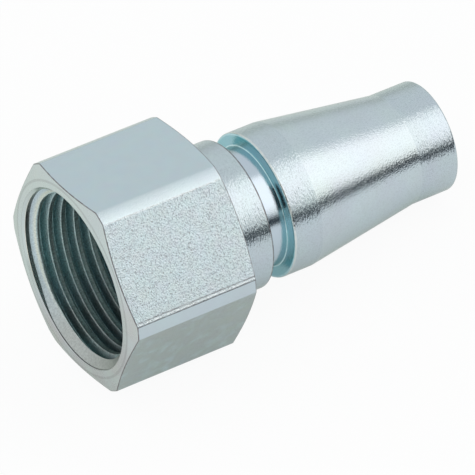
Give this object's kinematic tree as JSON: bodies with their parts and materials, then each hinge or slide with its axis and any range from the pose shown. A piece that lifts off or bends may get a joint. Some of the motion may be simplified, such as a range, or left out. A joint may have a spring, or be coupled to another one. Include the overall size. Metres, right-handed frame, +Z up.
{
  "type": "quick-connect air line plug adapter",
  "caption": "One-piece plated steel adapter: a hexagon with a female pipe thread at one end and a grooved, tapered quick-connect air plug at the other.",
  "frame": {"origin": "on the surface that the part lies on, under the middle of its box", "axes": "the turned axis lies in the X-Z plane with the nose towards +X and leaning down onto the surface; +Z is up, and one flat of the hexagon faces the surface"},
  "size_m": [0.0392, 0.0212, 0.0209],
  "materials": {
    "plated_steel": "satin turned steel, zinc plated with a clear blue passivate"
  },
  "bodies": {
    "root": {"adapter_body": "plated_steel"}
  },
  "joints": []
}
